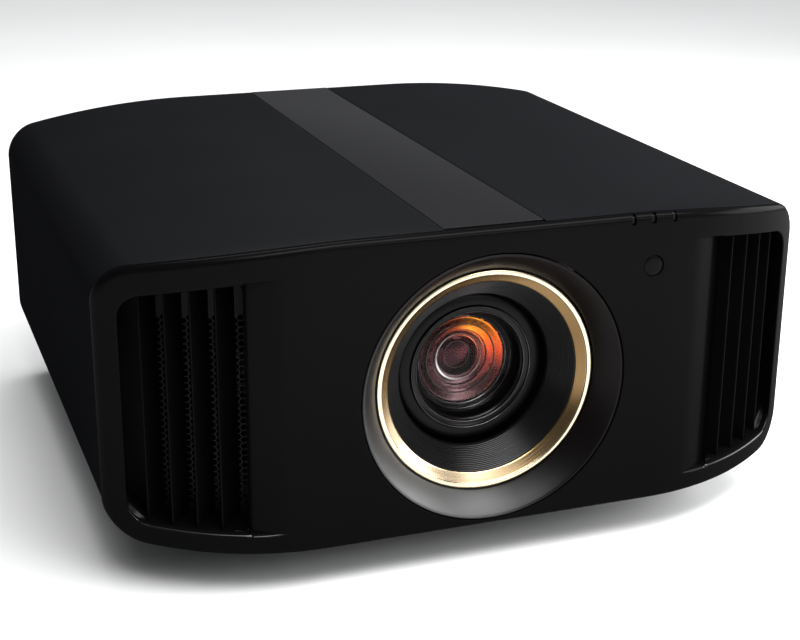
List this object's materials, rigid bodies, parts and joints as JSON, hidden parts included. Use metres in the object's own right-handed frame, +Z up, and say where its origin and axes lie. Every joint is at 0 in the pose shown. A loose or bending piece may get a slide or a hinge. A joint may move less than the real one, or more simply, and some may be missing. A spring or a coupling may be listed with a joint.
{
  "type": "home projector",
  "caption": "Long-throw home cinema projector: black casing, louvred front vents, recessed shiftable zoom lens in a gold ring, fans, lamp bay and rear sockets.",
  "frame": {"origin": "on the floor under the middle of the bounding box", "axes": "+Z up, the lens looks along -Y, +X to the viewer's right when looking at the front"},
  "size_m": [0.5, 0.484, 0.2335],
  "materials": {
    "casing_black": "fine satin texture, near-black",
    "strip_black": "fine brushed texture, charcoal",
    "trim_gold": "anodised gold, turned",
    "flare_dark": "dark anodised, satin",
    "inner_black": "matt black",
    "lens_metal": "black anodised",
    "lens_glass": "coated optical glass",
    "ir_glass": "dark red-black gloss",
    "led_window": "smoked light guide",
    "sheet_steel": "zinc plated",
    "alloy_cast": "cast alloy",
    "gear_brass": "machined",
    "circuit_board": "solder mask green",
    "foot_rubber": "moulded",
    "fan_grey": "moulded",
    "lamp_plastic": "heat resistant moulding",
    "socket_steel": "plated",
    "button_gloss": "satin gloss"
  },
  "bodies": {
    "casing": {"front_bezel": "casing_black", "ir_window": "ir_glass", "indicator_light_pipe": "led_window", "flare_ring": "flare_dark", "lens_trim_ring": "trim_gold", "lens_baffle": "inner_black", "lens_mount_frame": "alloy_cast", "left_louvre_grille": "inner_black", "right_louvre_grille": "inner_black", "left_vent_mesh": "inner_black", "right_vent_mesh": "inner_black", "left_fan_frame": "fan_grey", "right_fan_frame": "fan_grey", "intake_fan_frame": "fan_grey", "top_cover": "casing_black", "top_centre_strip": "strip_black", "base_pan": "casing_black", "chassis_tray": "sheet_steel", "rear_panel": "casing_black", "optical_block": "alloy_cast", "main_board": "circuit_board", "power_supply": "sheet_steel", "hdmi_socket_1": "socket_steel", "hdmi_socket_2": "socket_steel", "lan_socket": "socket_steel", "usb_socket": "socket_steel", "serial_socket": "socket_steel", "ac_inlet": "inner_black"},
    "foot_front_left": {"foot_front_left": "foot_rubber"},
    "foot_front_right": {"foot_front_right": "foot_rubber"},
    "foot_rear_left": {"foot_rear_left": "foot_rubber"},
    "foot_rear_right": {"foot_rear_right": "foot_rubber"},
    "shift_z_carriage": {"lens_shift_z_carriage": "alloy_cast"},
    "lens_unit": {"lens_shift_x_carriage": "alloy_cast", "lens_barrel": "lens_metal", "lens_front_ring": "lens_metal", "focus_motor": "sheet_steel", "zoom_motor": "sheet_steel"},
    "focus_ring": {"focus_gear_ring": "gear_brass"},
    "focus_drive_pinion": {"focus_pinion": "gear_brass"},
    "focus_group": {"lens_focus_cell": "lens_metal", "lens_front_element": "lens_glass", "lens_second_element": "lens_glass"},
    "zoom_ring": {"zoom_gear_ring": "gear_brass"},
    "zoom_drive_pinion": {"zoom_pinion": "gear_brass"},
    "zoom_group": {"lens_zoom_cell": "lens_metal", "lens_zoom_element": "lens_glass"},
    "left_fan_rotor": {"left_fan_impeller": "fan_grey"},
    "right_fan_rotor": {"right_fan_impeller": "fan_grey"},
    "intake_fan_rotor": {"intake_fan_impeller": "fan_grey"},
    "power_key": {"power_button": "button_gloss"},
    "input_key": {"input_button": "button_gloss"},
    "menu_key": {"menu_button": "button_gloss"},
    "back_key": {"back_button": "button_gloss"},
    "ok_key": {"ok_button": "button_gloss"},
    "cursor_key": {"cursor_ring_button": "button_gloss"},
    "lamp_door": {"lamp_cover": "casing_black"},
    "lamp_door_screw": {"lamp_cover_screw": "sheet_steel"},
    "lamp_unit": {"lamp_module": "lamp_plastic"},
    "air_filter": {"filter_frame": "inner_black"}
  },
  "joints": [
    {"name": "foot_front_left_height", "type": "slide", "parent": "casing", "child": "foot_front_left", "axis": [0, 0, -1], "range_m": [0, 0.005]},
    {"name": "foot_front_right_height", "type": "slide", "parent": "casing", "child": "foot_front_right", "axis": [0, 0, -1], "range_m": [0, 0.005]},
    {"name": "foot_rear_left_height", "type": "slide", "parent": "casing", "child": "foot_rear_left", "axis": [0, 0, -1], "range_m": [0, 0.005]},
    {"name": "foot_rear_right_height", "type": "slide", "parent": "casing", "child": "foot_rear_right", "axis": [0, 0, -1], "range_m": [0, 0.005]},
    {"name": "lens_shift_vertical", "type": "slide", "parent": "casing", "child": "shift_z_carriage", "axis": [0, 0, 1], "range_m": [-0.0085, 0.0085]},
    {"name": "lens_shift_horizontal", "type": "slide", "parent": "shift_z_carriage", "child": "lens_unit", "axis": [1, 0, 0], "range_m": [-0.005, 0.005]},
    {"name": "focus_ring_turn", "type": "hinge", "parent": "lens_unit", "child": "focus_ring", "pos_m": [0, -0.179, 0.1243], "axis": [0, 1, 0], "range_deg": [-60, 60]},
    {"name": "focus_pinion_turn", "type": "hinge", "parent": "lens_unit", "child": "focus_drive_pinion", "pos_m": [0.04467, -0.179, 0.18579], "axis": [0, 1, 0], "range_deg": [-226, 226]},
    {"name": "focus_group_travel", "type": "slide", "parent": "lens_unit", "child": "focus_group", "axis": [0, 1, 0], "range_m": [-0.0016, 0.0016]},
    {"name": "zoom_ring_turn", "type": "hinge", "parent": "lens_unit", "child": "zoom_ring", "pos_m": [0, -0.155, 0.1243], "axis": [0, 1, 0], "range_deg": [-60, 60]},
    {"name": "zoom_pinion_turn", "type": "hinge", "parent": "lens_unit", "child": "zoom_drive_pinion", "pos_m": [-0.04467, -0.155, 0.18579], "axis": [0, 1, 0], "range_deg": [-226, 226]},
    {"name": "zoom_group_travel", "type": "slide", "parent": "lens_unit", "child": "zoom_group", "axis": [0, 1, 0], "range_m": [-0.0061, 0.0061]},
    {"name": "left_fan_spin", "type": "hinge", "parent": "casing", "child": "left_fan_rotor", "pos_m": [-0.198, -0.138, 0.12], "axis": [0, 1, 0], "continuous": true},
    {"name": "right_fan_spin", "type": "hinge", "parent": "casing", "child": "right_fan_rotor", "pos_m": [0.198, -0.138, 0.12], "axis": [0, 1, 0], "continuous": true},
    {"name": "intake_fan_spin", "type": "hinge", "parent": "casing", "child": "intake_fan_rotor", "pos_m": [-0.152, 0.194, 0.154], "axis": [0, 1, 0], "continuous": true},
    {"name": "power_key_press", "type": "slide", "parent": "casing", "child": "power_key", "axis": [0, -1, 0], "range_m": [0, 0.0008], "stiffness_N_per_m": 900, "springref_m": -0.0004},
    {"name": "input_key_press", "type": "slide", "parent": "casing", "child": "input_key", "axis": [0, -1, 0], "range_m": [0, 0.0008], "stiffness_N_per_m": 900, "springref_m": -0.0004},
    {"name": "menu_key_press", "type": "slide", "parent": "casing", "child": "menu_key", "axis": [0, -1, 0], "range_m": [0, 0.0008], "stiffness_N_per_m": 900, "springref_m": -0.0004},
    {"name": "back_key_press", "type": "slide", "parent": "casing", "child": "back_key", "axis": [0, -1, 0], "range_m": [0, 0.0008], "stiffness_N_per_m": 900, "springref_m": -0.0004},
    {"name": "ok_key_press", "type": "slide", "parent": "casing", "child": "ok_key", "axis": [0, -1, 0], "range_m": [0, 0.0008], "stiffness_N_per_m": 900, "springref_m": -0.0004},
    {"name": "cursor_key_press", "type": "slide", "parent": "casing", "child": "cursor_key", "axis": [0, -1, 0], "range_m": [0, 0.0008], "stiffness_N_per_m": 900, "springref_m": -0.0004},
    {"name": "lamp_door_removal", "type": "slide", "parent": "casing", "child": "lamp_door", "axis": [1, 0, 0], "range_m": [0, 0.22]},
    {"name": "lamp_door_screw_turn", "type": "hinge", "parent": "lamp_door", "child": "lamp_door_screw", "pos_m": [0.245, 0.069, 0.129], "axis": [1, 0, 0], "range_deg": [0, 1080]},
    {"name": "lamp_unit_removal", "type": "slide", "parent": "casing", "child": "lamp_unit", "axis": [1, 0, 0], "range_m": [0, 0.166]},
    {"name": "filter_removal", "type": "slide", "parent": "casing", "child": "air_filter", "axis": [0, 1, 0], "range_m": [0, 0.06]}
  ],
  "couplings": [
    {"joint": "focus_pinion_turn", "follows": "focus_ring_turn", "ratio": -3.75},
    {"joint": "focus_group_travel", "follows": "focus_ring_turn", "m_per_rad": 0.0014324},
    {"joint": "zoom_pinion_turn", "follows": "zoom_ring_turn", "ratio": -3.75},
    {"joint": "zoom_group_travel", "follows": "zoom_ring_turn", "m_per_rad": 0.0057296},
    {"joint": "lamp_unit_removal", "follows": "lamp_door_removal", "ratio": 0.75}
  ]
}
